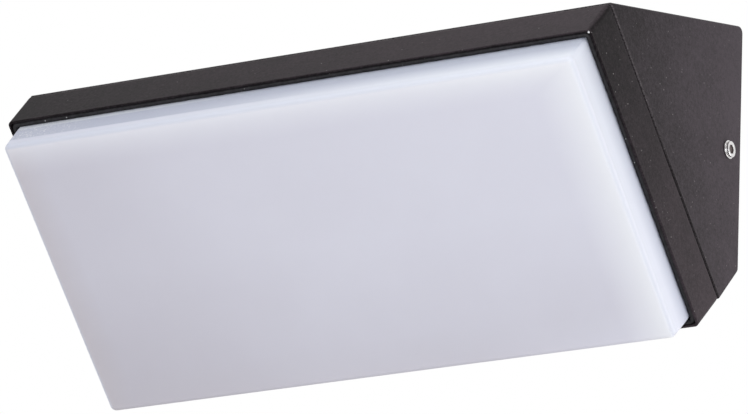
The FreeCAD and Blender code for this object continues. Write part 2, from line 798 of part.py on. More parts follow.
def earth_lead(pole_x):
    """Lead from the earth lug on the housing to its pole."""
    barrel_n = boss_back - barrel_radius
    start_x = earth_boss_x + lug_ring_radius + barrel_gap + barrel_length / 2
    top = block_height / 2 + earth_rise
    points = [from_slope(start_x, earth_boss_up, barrel_n),
              from_slope(start_x + earth_run, earth_boss_up, barrel_n),
              V(pole_x, -earth_bow_out, earth_bow_up), V(pole_x, -earth_reach, top),
              V(pole_x, -pole_out, top), V(pole_x, -pole_out, block_height / 2 - lead_in)]
    return wire_between(points, lead_radius)


def earth_lug():
    """Ring tongue with a crimped barrel on the housing's earth boss."""
    x, s = earth_boss_x, earth_boss_up
    barrel_x = x + lug_ring_radius + barrel_gap
    barrel_n = boss_back - barrel_radius
    body = fused([
        rod(lug_ring_radius, (x, s, boss_back - lug_plate), (x, s, boss_back)),
        block((x, s - barrel_radius, boss_back - lug_plate),
              (barrel_x + tongue_reach, s + barrel_radius, boss_back)),
        rod(barrel_radius, (barrel_x, s, barrel_n), (barrel_x + barrel_length, s, barrel_n)),
    ])
    body = body.cut(rod(m4_shank + screw_clearance, (x, s, boss_back - lug_plate - overrun),
                        (x, s, boss_back + overrun)))
    return body.cut(rod(lead_radius + screw_clearance, (barrel_x + barrel_length / 2, s, barrel_n),
                        (barrel_x + barrel_length + overrun, s, barrel_n)))


def earth_screw():
    """Screw that holds the earth lug."""
    return facing(pan_screw(m4_shank, earth_screw_length, m4_head, m4_head_height),
                  (earth_boss_x, earth_boss_up, boss_back - lug_plate), (0, 0, -1))


def wall_bracket():
    """Steel strap with an ear bent forwards at each end."""
    outline = [V(-ear_outside, -ear_depth, -strap_height / 2), V(-ear_outside, 0, -strap_height / 2),
               V(ear_outside, 0, -strap_height / 2), V(ear_outside, -ear_depth, -strap_height / 2),
               V(ear_inside, -ear_depth, -strap_height / 2), V(ear_inside, -strap, -strap_height / 2),
               V(-ear_inside, -strap, -strap_height / 2), V(-ear_inside, -ear_depth, -strap_height / 2)]
    outer_bend = bend_inside + strap
    radii = [0, outer_bend, outer_bend, 0, 0, bend_inside, bend_inside, 0]
    body = Part.Face(rounded_polygon(outline, radii)).extrude(V(0, 0, strap_height))
    ear_top, past_strap = ear_height / 2, strap_height / 2 + overrun
    for low, high in ((-past_strap, -ear_top), (ear_top, past_strap)):
        body = body.cut(block((-ear_outside - overrun, -ear_depth - overrun, low),
                              (ear_outside + overrun, -outer_bend, high)))
    for side in (-1, 1):
        middle = side * slot_spacing / 2
        reach = slot_length / 2 - slot_radius
        body = body.cut(block((middle - reach, -strap - overrun, -slot_radius),
                              (middle + reach, overrun, slot_radius)))
        for end in (middle - reach, middle + reach):
            body = body.cut(rod(slot_radius, (end, -strap - overrun, 0), (end, overrun, 0)))
    body = body.cut(rod(cable_hole_radius + cable_fit, (0, -strap - overrun, 0), (0, overrun, 0)))
    for x in block_fixing_places():
        body = body.cut(rod(m25_shank + screw_clearance, (x, -strap - overrun, 0), (x, overrun, 0)))
    return body.cut(rod(side_shank + screw_clearance, (-ear_outside - overrun, -screw_from_wall, 0),
                        (ear_outside + overrun, -screw_from_wall, 0)))


def ear_nuts():
    """Nuts welded inside the ears."""
    nuts = []
    for side in (-1, 1):
        nut = hexagon(nut_across, 0, nut_height)
        nut = nut.cut(rod(side_shank + screw_clearance, (0, 0, -overrun), (0, 0, nut_height + overrun)))
        nuts.append(facing(nut, (side * ear_inside, -screw_from_wall, 0), (-side, 0, 0)))
    return nuts


def cable_grommet():
    """Bush in the bracket's middle hole for the supply cable."""
    flange_front = -strap - cable_flange_thickness
    nose_root = cable_bore + cable_nose_wall * 2
    nose = Part.makeCone(nose_root, cable_bore + cable_nose_wall, cable_nose,
                         V(0, flange_front, 0), V(0, -1, 0))
    body = fused([
        rod(cable_hole_radius, (0, flange_front, 0), (0, 0, 0)),
        rod(cable_flange, (0, flange_front, 0), (0, -strap, 0)),
        nose,
    ])
    return body.cut(rod(cable_bore, (0, flange_front - cable_nose - overrun, 0), (0, overrun, 0)))


def block_fixing_places():
    """Places of the terminal block's two screws, between its poles."""
    return block_middle - pole_pitch / 2, block_middle + pole_pitch / 2


def terminal_block():
    """Three-pole block on the bracket, open above and below each pole."""
    low = (block_middle - block_length / 2, -strap - block_depth, -block_height / 2)
    high = (block_middle + block_length / 2, -strap, block_height / 2)
    body = block(low, high)
    front_edges = [edge for edge in body.Edges if edge.BoundBox.YMax < -strap - block_depth + tiny]
    body = body.makeFillet(block_round, front_edges)
    front = -strap - block_depth
    for x in pole_places():
        body = body.cut(rod(contact_radius + contact_fit, (x, -pole_out, -block_height / 2 - overrun),
                            (x, -pole_out, block_height / 2 + overrun)))
        for side in (-1, 1):
            z = side * clamp_spacing / 2
            body = body.cut(rod(clamp_radius + screw_clearance, (x, front - overrun, z), (x, -pole_out, z)))
    for x in block_fixing_places():
        body = body.cut(rod(m25_shank + screw_clearance, (x, front - overrun, 0), (x, overrun, 0)))
        seat = front + fixing_head_sunk + m25_head_height
        body = body.cut(rod(m25_head + screw_clearance, (x, front - overrun, 0), (x, seat, 0)))
    return body


def terminal_contacts():
    """Brass tube of each pole, pierced for its clamp screws."""
    tubes = []
    reach = block_height / 2 - contact_inset
    for x in pole_places():
        tube = rod(contact_radius, (x, -pole_out, -reach), (x, -pole_out, reach))
        tube = tube.cut(rod(contact_radius - contact_wall, (x, -pole_out, -reach - overrun),
                            (x, -pole_out, reach + overrun)))
        for side in (-1, 1):
            z = side * clamp_spacing / 2
            tube = tube.cut(rod(clamp_radius + screw_clearance, (x, -pole_out - contact_radius - overrun, z),
                                (x, -pole_out, z)))
        tubes.append(tube)
    return tubes


def terminal_screws():
    """Slotted clamp screws, two for each pole."""
    screws = []
    top = -strap - block_depth + clamp_sunk
    for x in pole_places():
        for side in (-1, 1):
            z = side * clamp_spacing / 2
            screw = rod(clamp_radius, (x, -pole_out - lead_radius - screw_clearance, z), (x, top, z))
            slot = block((x - clamp_radius - overrun, top - overrun, z - clamp_slot_width / 2),
                         (x + clamp_radius + overrun, top + clamp_slot_depth, z + clamp_slot_width / 2))
            screws.append(screw.cut(slot))
    return screws


def terminal_fixing_screws():
    """Screws through the terminal block into the bracket."""
    seat = -strap - block_depth + fixing_head_sunk + m25_head_height
    length = -seat - screw_clearance
    return [facing(pan_screw(m25_shank, length, m25_head, m25_head_height), (x, seat, 0), (0, -1, 0))
            for x in block_fixing_places()]


def side_screw(side):
    """Button-head socket screw that holds the housing to an ear of the bracket."""
    head = rod(side_head, (0, 0, 0), (0, 0, side_head_height))
    top_edge = [edge for edge in head.Edges if edge.BoundBox.ZMin > side_head_height - tiny]
    head = head.makeFillet(side_head_round, top_edge)
    body = head.fuse(rod(side_shank, (0, 0, -side_shank_length), (0, 0, 0)))
    body = body.cut(hexagon(socket_across, side_head_height - socket_depth, side_head_height + overrun))
    return facing(body, (side * (half_width + washer_thickness), -screw_from_wall, 0), (side, 0, 0))


def screw_washer(side):
    """Lock washer between a side screw's head and the housing."""
    ring = rod(washer_radius, (0, 0, 0), (0, 0, washer_thickness))
    ring = ring.cut(rod(side_shank + screw_clearance, (0, 0, -overrun), (0, 0, washer_thickness + overrun)))
    ring = ring.cut(block((0, -washer_split / 2, -overrun), (washer_radius + overrun, washer_split / 2,
                                                             washer_thickness + overrun)))
    return facing(ring, (side * half_width, -screw_from_wall, 0), (side, 0, 0))


def save(node, shape, slanted=False):
    """Write one node, from one solid or a list of separate solids."""
    solids = shape if isinstance(shape, list) else [shape]
    if slanted:
        solids = [on_slope(solid) for solid in solids]
    whole = Part.makeCompound(solids) if len(solids) > 1 else solids[0]
    if not whole.isValid():
        raise RuntimeError(node + " isn't a valid shape")
    whole.exportStep("parts/" + node + ".step")
    print(node, len(whole.Solids), "solid(s)", round(whole.Volume / 1000, 3), "cm3")


os.makedirs("parts", exist_ok=True)
save("housing", housing())
save("wall_seal", wall_seal())
save("front_frame", front_frame(), slanted=True)
save("diffuser", diffuser(), slanted=True)
save("diffuser_sealant", diffuser_sealant(), slanted=True)
save("frame_gasket", frame_gasket(), slanted=True)
save("gear_plate", gear_plate(), slanted=True)
save("frame_screws", frame_screws(), slanted=True)
save("thermal_pad", flat_on_plate(plate_front, board_back), slanted=True)
save("led_board", flat_on_plate(board_back, board_front), slanted=True)
save("led_packages", led_packages(), slanted=True)
save("board_screws", board_screws(), slanted=True)
save("board_connector", board_connector(), slanted=True)
save("lead_grommet", lead_grommet(), slanted=True)
save("output_lead_red", fine_lead(fine_lead_places()[0]))
save("output_lead_black", fine_lead(fine_lead_places()[1]))
save("driver_case", driver_case(), slanted=True)
save("driver_cover", driver_cover(), slanted=True)
save("driver_board", driver_board(), slanted=True)
save("driver_transformer", driver_transformer(), slanted=True)
save("driver_capacitors", driver_capacitors(), slanted=True)
save("driver_screws", driver_screws(), slanted=True)
live_s, neutral_s = mains_lead_places()
live_pole, neutral_pole, earth_pole = pole_places()
save("live_lead", mains_lead(live_s, live_run, live_pole, live_rise, live_reach))
save("neutral_lead", mains_lead(neutral_s, neutral_run, neutral_pole, neutral_rise, neutral_reach))
save("earth_lead", earth_lead(earth_pole))
save("earth_lug", earth_lug(), slanted=True)
save("earth_screw", earth_screw(), slanted=True)
save("wall_bracket", wall_bracket())
save("ear_nuts", ear_nuts())
save("cable_grommet", cable_grommet())
save("terminal_block", terminal_block())
save("terminal_contacts", terminal_contacts())
save("terminal_screws", terminal_screws())
save("terminal_fixing_screws", terminal_fixing_screws())
for side_name, side in (("left", -1), ("right", 1)):
    save(side_name + "_side_screw", side_screw(side))
    save(side_name + "_screw_washer", screw_washer(side))
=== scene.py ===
import math

import bpy
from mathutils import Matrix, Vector


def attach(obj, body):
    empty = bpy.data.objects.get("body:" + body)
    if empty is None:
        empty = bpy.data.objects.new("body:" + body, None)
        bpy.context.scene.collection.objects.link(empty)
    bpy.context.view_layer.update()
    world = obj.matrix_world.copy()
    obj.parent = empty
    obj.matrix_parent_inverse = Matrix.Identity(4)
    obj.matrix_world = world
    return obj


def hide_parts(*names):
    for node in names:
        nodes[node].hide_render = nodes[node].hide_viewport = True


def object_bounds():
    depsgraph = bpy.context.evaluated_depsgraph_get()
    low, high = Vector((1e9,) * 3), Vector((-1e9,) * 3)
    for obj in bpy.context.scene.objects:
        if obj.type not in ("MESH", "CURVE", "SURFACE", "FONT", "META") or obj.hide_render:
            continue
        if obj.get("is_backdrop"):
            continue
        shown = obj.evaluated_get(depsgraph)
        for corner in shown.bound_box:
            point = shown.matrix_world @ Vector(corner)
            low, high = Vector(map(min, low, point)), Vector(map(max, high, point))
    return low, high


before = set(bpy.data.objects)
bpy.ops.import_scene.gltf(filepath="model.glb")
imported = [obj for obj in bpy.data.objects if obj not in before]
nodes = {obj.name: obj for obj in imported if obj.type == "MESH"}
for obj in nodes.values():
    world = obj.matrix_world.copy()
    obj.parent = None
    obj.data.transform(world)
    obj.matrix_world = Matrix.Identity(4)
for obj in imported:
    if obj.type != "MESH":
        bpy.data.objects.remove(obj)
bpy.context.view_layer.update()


# Wall bracket and its nuts: a strap of zinc-plated steel sheet with an ear bent forwards at each
# end. It is punched and folded, and an M4 nut is projection-welded inside each ear.

class Value:
    """A socket's value in a node tree, so that shader maths can be written as sums."""

    def __init__(self, owner, socket):
        self.owner = owner
        self.socket = socket

    def maths(self, operation, *others):
        """Result of one maths operation on this value and others."""
        return self.owner.node("ShaderNodeMath", {"operation": operation}, dict(enumerate((self, *others))))

    def __add__(self, other):
        return self.maths("ADD", other)

    __radd__ = __add__

    def __sub__(self, other):
        return self.maths("SUBTRACT", other)

    def __rsub__(self, other):
        return self.owner.node("ShaderNodeMath", {"operation": "SUBTRACT"}, {0: other, 1: self})

    def __mul__(self, other):
        return self.maths("MULTIPLY", other)

    __rmul__ = __mul__

    def __truediv__(self, other):
        return self.maths("DIVIDE", other)

    def between(self, low, high):
        """0 at low and below, 1 at high and above, and a straight run between them."""
        return self.owner.node("ShaderNodeMapRange", {"clamp": True},
                               {"Value": self, "From Min": low, "From Max": high})


class NodeTree:
    """The nodes of a material or of the world."""

    def __init__(self, tree):
        self.tree = tree
        self.tree.nodes.clear()

    def node(self, kind, settings=None, values=None, output=0):
        """Add one node with its settings and values, and give one of its outputs."""
        node = self.tree.nodes.new(kind)
        for name, setting in (settings or {}).items():
            setattr(node, name, setting)
        for name, value in (values or {}).items():
            self.feed(node.inputs[name], value)
        return Value(self, node.outputs[output])

    def feed(self, socket, value):
        """Set a socket, or link it where the value comes from another node."""
        if isinstance(value, Value):
            self.tree.links.new(value.socket, socket)
        elif hasattr(value, "__len__") and len(value) < len(socket.default_value):
            socket.default_value = (*value, 1.0)
        else:
            socket.default_value = value


class Finish(NodeTree):
    """A material made of nodes around one glossy-and-diffuse shader."""

    def __init__(self, name, **constants):
        self.material = bpy.data.materials.new(name)
        self.material.use_nodes = True
        super().__init__(self.material.node_tree)
        self.shader = self.tree.nodes.new("ShaderNodeBsdfPrincipled")
        self.look = Value(self, self.shader.outputs[0])
        self.surface = self.tree.nodes.new("ShaderNodeOutputMaterial").inputs["Surface"]
        self.feed(self.surface, self.look)
        self.place = self.node("ShaderNodeTexCoord", output="Object")
        for socket, value in constants.items():
            self.set(socket.replace("_", " ").title().replace("Ior", "IOR"), value)

    def set(self, name, value):
        """Set one socket of the shader."""
        self.feed(self.shader.inputs[name], value)

    def noise(self, size, detail=2.0, roughness=0.5, stretch=(1.0, 1.0, 1.0)):
        """Soft grain, about as large as size in metres, from 0 to 1. A stretch below 1 draws it out."""
        place = self.node("ShaderNodeMapping", None, {"Vector": self.place, "Scale": stretch})
        return self.node("ShaderNodeTexNoise", None,
                         {"Vector": place, "Scale": 1 / size, "Detail": detail, "Roughness": roughness})

    def specks(self, spacing, size, share):
        """Up to 1 in small round specks, one in each cell of the spacing for a share of the cells."""
        cell = {"Vector": self.place, "Scale": 1 / spacing}
        distance = self.node("ShaderNodeTexVoronoi", {"feature": "F1"}, cell, "Distance")
        color = self.node("ShaderNodeTexVoronoi", {"feature": "F1"}, cell, "Color")
        pick = self.node("ShaderNodeSeparateColor", None, {0: color})
        strength = self.node("ShaderNodeSeparateColor", None, {0: color}, 1)
        edge = size / spacing / 2
        speck = 1 - distance.between(edge * 0.5, edge)
        return speck * pick.maths("LESS_THAN", share) * (strength * 0.8 + 0.2)

    def along(self, direction, origin=(0.0, 0.0, 0.0)):
        """Distance in metres from an origin, measured along a direction."""
        offset = self.node("ShaderNodeVectorMath", {"operation": "SUBTRACT"}, {0: self.place, 1: origin})
        return self.node("ShaderNodeVectorMath", {"operation": "DOT_PRODUCT"},
                         {0: offset, 1: direction}, "Value")

    def blend(self, factor, low, high):
        """Colour between two others."""
        return self.node("ShaderNodeMix", {"data_type": "RGBA"}, {0: factor, 6: low, 7: high}, 2)

    def bump(self, height, distance, strength=1.0):
        """Raise the surface by a height, in metres at a height of 1."""
        self.set("Normal", self.node("ShaderNodeBump", None,
                                     {"Height": height, "Distance": distance, "Strength": strength}))


def tone(red, green, blue):
    """Linear colour of a paint tone given from 0 to 255 as on a screen."""
    levels = [level / 255 for level in (red, green, blue)]
    return tuple(level / 12.92 if level <= 0.04045 else ((level + 0.055) / 1.055) ** 2.4 for level in levels)


def cover(piece, finish):
    """Give a piece one finish, in place of what it had."""
    piece.data.materials.clear()
    piece.data.materials.append(finish.material)


def dress(finish, *names):
    """Give nodes of the part a finish."""
    for name in names:
        cover(nodes[name], finish)


MM = 0.001
zinc = Finish("zinc_plated_steel", metallic=1.0)
spangle = zinc.noise(3.0 * MM, 4.0, 0.6)
rolled = zinc.noise(0.5 * MM, 3.0, 0.6, (0.06, 1.0, 1.0))
zinc.set("Base Color", zinc.blend(spangle.between(0.35, 0.7), tone(158, 160, 162), tone(196, 197, 196)))
zinc.set("Roughness", spangle * 0.22 + rolled * 0.16 + 0.2)
zinc.bump(rolled * 0.6 + spangle * 0.4, 0.02 * MM)
dress(zinc, "wall_bracket", "ear_nuts")


# Supply cable's bush in the bracket: soft black rubber, moulded in one piece, with a tapered nose
# that is cut to the cable's size and a flange that snaps over the sheet.

rubber = Finish("black_rubber", specular_ior_level=0.35)
bloom = rubber.noise(4.0 * MM, 4.0, 0.6)
rubber.set("Base Color", rubber.blend(bloom.between(0.4, 0.75), tone(28, 28, 29), tone(48, 47, 47)))
rubber.set("Roughness", bloom * 0.2 + 0.62)
rubber.bump(rubber.noise(0.35 * MM, 3.0), 0.02 * MM)
dress(rubber, "cable_grommet", "wall_seal", "frame_gasket", "lead_grommet")


# Terminal block: three poles of drawn brass tube in a body moulded of white polyamide, with steel
# clamp screws from the front and two steel screws that hold it to the strap.

def grained(name, size, tones, roughness, relief, detail=3.0, falloff=0.5, **constants):
    """Finish whose tone, roughness and relief follow one grain. Its roughness is a spread and a base."""
    finish = Finish(name, **constants)
    grain = finish.noise(size, detail, falloff)
    spread, base = roughness
    finish.set("Base Color", finish.blend(grain, *tones))
    finish.set("Roughness", grain * spread + base)
    finish.bump(grain, relief)
    return finish


polyamide = Finish("white_polyamide", subsurface_weight=0.08, subsurface_scale=1.0 * MM)
cloud = polyamide.noise(6.0 * MM, 3.0)
polyamide.set("Base Color", polyamide.blend(cloud, tone(214, 212, 204), tone(226, 224, 217)))
polyamide.set("Roughness", polyamide.noise(1.5 * MM, 2.0) * 0.14 + 0.38)
polyamide.bump(polyamide.noise(0.25 * MM, 2.0), 0.01 * MM)
dress(polyamide, "terminal_block", "board_connector", "driver_case", "driver_cover")

brass = Finish("drawn_brass", metallic=1.0)
tarnish = brass.noise(1.6 * MM, 4.0, 0.65)
brass.set("Base Color", brass.blend(tarnish.between(0.35, 0.75), tone(196, 164, 92), tone(150, 118, 62)))
brass.set("Roughness", tarnish * 0.3 + 0.16)
brass.bump(brass.noise(0.2 * MM, 2.0, 0.5, (1.0, 1.0, 0.08)), 0.008 * MM)
dress(brass, "terminal_contacts", "earth_screw")

screw_steel = grained("plated_screw_steel", 0.8 * MM, (tone(150, 151, 152), tone(205, 205, 203)),
                      (0.25, 0.17), 0.01 * MM, 4.0, 0.6, metallic=1.0)
dress(screw_steel, "terminal_screws", "terminal_fixing_screws", "frame_screws", "board_screws",
      "driver_screws")


# Housing: a die-cast aluminium wedge, blasted and then powder-coated dark grey. The coat has a
# fine satin grain, drifts slightly in tone and carries a little light dust, with painted light and shade on
# it.

ACROSS, TO_WALL, UPWARD = (1.0, 0.0, 0.0), (0.0, 1.0, 0.0), (0.0, 0.0, 1.0)
SEAM = (0.0, -0.06, -0.016)
SLOPE_LEAN = 46.0
UP_SLOPE = (0.0, -math.sin(math.radians(SLOPE_LEAN)), math.cos(math.radians(SLOPE_LEAN)))
OUT_OF_SLOPE = (0.0, -math.cos(math.radians(SLOPE_LEAN)), -math.sin(math.radians(SLOPE_LEAN)))

PAINTED_LIGHT_DEPTH = 118.0 * MM
TOP_EDGE = (61.2 * MM, 61.9 * MM)
LIP_MIDDLE, LIP_EDGE = 0.3 * MM, (0.5 * MM, 1.0 * MM)
GROOVE_BACK, GROOVE_FRONT = (-0.55 * MM, -0.25 * MM), (-0.1 * MM, 0.1 * MM)
LIP_HIGHLIGHT_TONE, GROOVE_SHADE_TONE, DUST_TONE = tone(104, 98, 100), tone(15, 13, 14), tone(170, 164, 164)


def powder_coat(name, tones, dust_share, top_light_share=0.0, low_share=0.0):
    """Satin powder coat between two tones, with dust on some cells, a painted highlight on the lips of the
    seam and painted shade in its groove.

    Painted light makes the coat lighter towards the wall and the top edge lighter along its length by one
    share, and the lower part is darker by another.
    """
    coat = Finish(name, specular_ior_level=0.08)
    drift = coat.noise(16.0 * MM, 5.0, 0.62)
    grain = coat.noise(0.6 * MM, 3.0, 0.6)
    fleck = coat.noise(1.3 * MM, 2.0, 0.5)
    up = coat.along(UP_SLOPE, SEAM)
    before_seam = coat.along(OUT_OF_SLOPE, SEAM)

    # Painted light: the coat grows lighter towards the wall, and the top edge lighter along its length.
    to_wall = coat.along(TO_WALL).between(-PAINTED_LIGHT_DEPTH, 0.0) - 0.5
    top = (coat.along(ACROSS).between(-125.0 * MM, 110.0 * MM) + 0.1) * up.between(*TOP_EDGE)
    low = 1 - coat.along(UPWARD).between(-40.0 * MM, 10.0 * MM)
    shade = (drift - 0.5) * 0.6 + (grain - 0.5) * 1.2 + (fleck - 0.5) * 0.7 + to_wall * 0.9 + 0.5
    paint = coat.blend(shade + top * top_light_share - low * low_share, *tones)

    # Painted highlight: a lighter streak along the lips of the seam.
    lip = 1 - (before_seam - LIP_MIDDLE).maths("ABSOLUTE").between(*LIP_EDGE)
    lip_highlighted = coat.blend(lip * grain.between(0.3, 0.6) * 0.75, paint, LIP_HIGHLIGHT_TONE)
    # Painted shade: the groove at the seam is darkened in its lower part.
    groove = before_seam.between(*GROOVE_BACK) * (1 - before_seam.between(*GROOVE_FRONT))
    groove_shade = groove * (1 - up.between(-10.0 * MM, 30.0 * MM))
    groove_shaded = coat.blend(groove_shade * 0.8, lip_highlighted, GROOVE_SHADE_TONE)
    settled = coat.noise(24.0 * MM, 2.0).between(0.4, 0.62) * 0.7 + 0.3
    dust = coat.specks(2.4 * MM, 0.62 * MM, dust_share) * settled
    dust_over_painted_light = coat.blend(dust * 0.8, groove_shaded, DUST_TONE)

    coat.set("Base Color", dust_over_painted_light)
    coat.set("Roughness", grain * 0.14 + drift * 0.1 + dust * 0.2 + 0.38)
    coat.bump(grain * 0.65 + fleck * 0.35, 0.04 * MM, 0.7)
    return coat, dust_over_painted_light


housing_tones = tone(23, 19, 20), tone(71, 64, 69)
housing_coat, _ = powder_coat("powder_coat_on_casting", housing_tones, 0.28, low_share=0.2)
dress(housing_coat, "housing")


# Earth connection: a crimped ring of tinned copper under a brass screw, on a boss of the casting.
# The ring is pressed from sheet and keeps a soft, slightly dull plating.

tin = grained("tinned_copper", 1.2 * MM, (tone(176, 174, 168), tone(208, 206, 200)),
              (0.25, 0.2), 0.01 * MM, 4.0, 0.6, metallic=1.0)
dress(tin, "earth_lug")


# Gear plate: sheared aluminium sheet that carries the electrics behind the frame. It is left as
# the mill rolled it, with fine lines along its length.

sheet = Finish("mill_aluminium", metallic=1.0)
lines = sheet.noise(0.4 * MM, 4.0, 0.6, (0.03, 1.0, 1.0))
smear = sheet.noise(9.0 * MM, 4.0, 0.6)
sheet.set("Base Color", sheet.blend(smear, tone(188, 190, 193), tone(212, 213, 215)))
sheet.set("Roughness", lines * 0.2 + smear * 0.12 + 0.18)
sheet.bump(lines, 0.012 * MM)
dress(sheet, "gear_plate")


# Driver: a green circuit board in a white case that opens, with a ferrite transformer wound and
# taped, and three capacitors in shrunk blue sleeves.

board_green = Finish("green_circuit_board", coat_weight=0.5, coat_roughness=0.12)
copper_plan = board_green.noise(2.4 * MM, 1.0)
copper = copper_plan.between(0.49, 0.52)
board_green.set("Base Color", board_green.blend(copper, tone(26, 92, 58), tone(34, 116, 72)))
board_green.set("Roughness", copper_plan * 0.1 + 0.32)
board_green.bump(copper_plan.between(0.47, 0.54), 0.03 * MM)
dress(board_green, "driver_board")

ferrite = grained("ferrite_and_tape", 0.5 * MM, (tone(40, 40, 43), tone(66, 65, 66)),
                  (0.2, 0.45), 0.03 * MM, 4.0, 0.6, specular_ior_level=0.45)
dress(ferrite, "driver_transformer")

sleeve = grained("dark_blue_sleeve", 2.0 * MM, (tone(26, 30, 52), tone(38, 43, 70)),
                 (0.15, 0.28), 0.03 * MM, 2.0, coat_weight=0.3, coat_roughness=0.2)
dress(sleeve, "driver_capacitors")


# Leads: stranded copper in extruded PVC of the usual colours, two fine ones to the light source
# and three thicker ones to the mains. The earth lead's yellow stripes run round its green.

def insulation(name, low, high):
    """Soft PVC between two tones, with the faint waves of its extrusion."""
    pvc = Finish(name, specular_ior_level=0.45)
    wave = pvc.noise(5.0 * MM, 3.0)
    color = pvc.blend(wave, low, high)
    pvc.set("Base Color", color)
    pvc.set("Roughness", wave * 0.16 + 0.34)
    pvc.bump(pvc.noise(1.2 * MM, 2.0), 0.02 * MM)
    return pvc, color


for lead, low, high in (
    ("output_lead_red", tone(168, 26, 24), tone(196, 40, 34)),
    ("output_lead_black", tone(26, 26, 27), tone(42, 41, 41)),
    ("live_lead", tone(94, 56, 36), tone(116, 72, 48)),
    ("neutral_lead", tone(38, 84, 164), tone(54, 104, 188)),
):
    dress(insulation(lead + "_insulation", low, high)[0], lead)

STRIPE_PITCH = 3.2 * MM
striped, green = insulation("earth_lead_insulation", tone(44, 130, 52), tone(56, 148, 60))
turn = (striped.along((0.3, 0.5, 0.8)) / STRIPE_PITCH).maths("FRACT")
stripe = turn.between(0.5, 0.54) * (1 - turn.between(0.96, 1.0))
striped.set("Base Color", striped.blend(stripe, green, tone(214, 200, 48)))
dress(striped, "earth_lead")


# Light source: a white-masked aluminium board on a soft grey heat pad, with rows of small white
# packages whose windows hold yellow phosphor.

mask = grained("white_solder_mask", 2.0 * MM, (tone(226, 226, 222), tone(236, 236, 232)),
               (0.12, 0.4), 0.01 * MM, coat_weight=0.2, coat_roughness=0.25)
dress(mask, "led_board")

pad = grained("grey_heat_pad", 0.4 * MM, (tone(118, 122, 128), tone(142, 146, 152)),
              (0.15, 0.7), 0.02 * MM, specular_ior_level=0.3)
dress(pad, "thermal_pad")

phosphor = grained("phosphor_window", 0.25 * MM, (tone(228, 196, 92), tone(238, 214, 124)),
                   (0.15, 0.4), 0.01 * MM, subsurface_weight=0.2, subsurface_scale=0.5 * MM)
dress(phosphor, "led_packages")


# Front frame: a die-cast frame with tapered sides, coated like the housing. A channel in the top
# of its wall takes the sealant round the diffuser. One corner of the channel's edge has a small near-white
# spot.

FRAME_FRONT = 20.8 * MM
SPOT_ACROSS, SPOT_UP, SPOT_EDGE = 124.2 * MM, 61.0 * MM, (0.65 * MM, 0.95 * MM)
frame_tones = tone(17, 13, 15), tone(64, 56, 60)
# The frame's top edge takes painted light along its length.
frame_coat, frame_paint = powder_coat("powder_coat_on_frame", frame_tones, 0.2, top_light_share=0.6)
white_spot_place = Vector(SEAM) + Vector(UP_SLOPE) * SPOT_UP + Vector(OUT_OF_SLOPE) * FRAME_FRONT
white_spot_place.x = SPOT_ACROSS
# A small near-white spot with a ragged edge at one corner of the channel's edge.
from_white_spot = frame_coat.node("ShaderNodeVectorMath", {"operation": "DISTANCE"},
                            {0: frame_coat.place, 1: white_spot_place}, "Value")
ragged = from_white_spot + frame_coat.noise(0.5 * MM) * (0.8 * MM)
white_spot = 1 - ragged.between(*SPOT_EDGE)
frame_coat.set("Base Color", frame_coat.blend(white_spot, frame_paint, tone(238, 236, 236)))
dress(frame_coat, "front_frame")


# Diffuser: a tray moulded of opal plastic, bonded in with black silicone. Light and shade are painted
# into its colour: light across the face, along the walls and on the right and upper rims, and shade on the
# bends, the lower and far edges and the foot of the walls. Lint and a paler strip lie on the foot of its
# upper wall.

FACE_HALF_WIDTH, FACE_HALF_HEIGHT = 121.75 * MM, 58.55 * MM
LOW_EDGE_WIDTH, FAR_EDGE_WIDTH = 16.0 * MM, 14.0 * MM
RIGHT_RIM, UPPER_RIM = (20.5 * MM, 2.5 * MM), (14.0 * MM, 2.5 * MM)
RIGHT_RIM_CURVE, UPPER_RIM_CURVE = 1.3, 1.5
WALL, UPPER_WALL = (1.9 * MM, 0.6 * MM), (0.6 * MM, 0.0)
RIGHT_BEND, RIGHT_BEND_RISE = (1.4 * MM, 0.2 * MM), (11.0 * MM, 12.3 * MM)
UPPER_BEND, UPPER_BEND_RISE = (2.0 * MM, 1.0 * MM), (11.6 * MM, 12.8 * MM)
FOOT_RISE, PALE_STRIP_RISE = (-0.5 * MM, 8.5 * MM), (1.9 * MM, 2.6 * MM)
SHARP_SHADE_RISE, SOFT_SHADE_RISE = (9.2 * MM, 10.2 * MM), (4.5 * MM, 11.5 * MM)


def in_from_edge(place, half_size, start_and_full):
    """0 up to a start and 1 from where it is full, both measured in from the tray's edge."""
    start, full = start_and_full
    return place.between(half_size - start, half_size - full)


opal = Finish("opal_plastic", subsurface_weight=0.3, subsurface_radius=(1.0, 0.97, 0.94),
              subsurface_scale=6.0 * MM, specular_ior_level=0.3)
haze = opal.noise(45.0 * MM, 2.0, 0.5)
across = opal.along(ACROSS, SEAM)
up = opal.along(UP_SLOPE, SEAM)
out = opal.along(OUT_OF_SLOPE, SEAM) - FRAME_FRONT
lengthways = across.between(-FACE_HALF_WIDTH, FACE_HALF_WIDTH)
height_on_face = up.between(-60.0 * MM, 60.0 * MM)

# The thin face with painted light across it, and painted shade in strips along its lower edge and its far
# end.
low_edge = 1 - up.between(-FACE_HALF_HEIGHT, LOW_EDGE_WIDTH - FACE_HALF_HEIGHT)
far_edge = 1 - across.between(-FACE_HALF_WIDTH, FAR_EDGE_WIDTH - FACE_HALF_WIDTH)
near_end = low_edge * across.between(40.0 * MM, 100.0 * MM)
# Painted light: the face grows lighter towards its right end and its top.
thickness = (near_end * 0.16 + across.between(-112.0 * MM, -20.0 * MM) * 0.4
             + across.between(-20.0 * MM, FACE_HALF_WIDTH) * 0.14
             + up.between(-45.0 * MM, 0.0) * 0.27 + haze * 0.2 - 0.08)
face = opal.blend(thickness, tone(202, 198, 206), tone(233, 232, 243))
# Painted shade: darker strips along the lower edge and the far end.
shaded_edges = (far_edge * 0.8).maths("MAXIMUM", (low_edge - near_end) * 0.24)
edged_face = opal.blend(shaded_edges, face, tone(204, 198, 202))

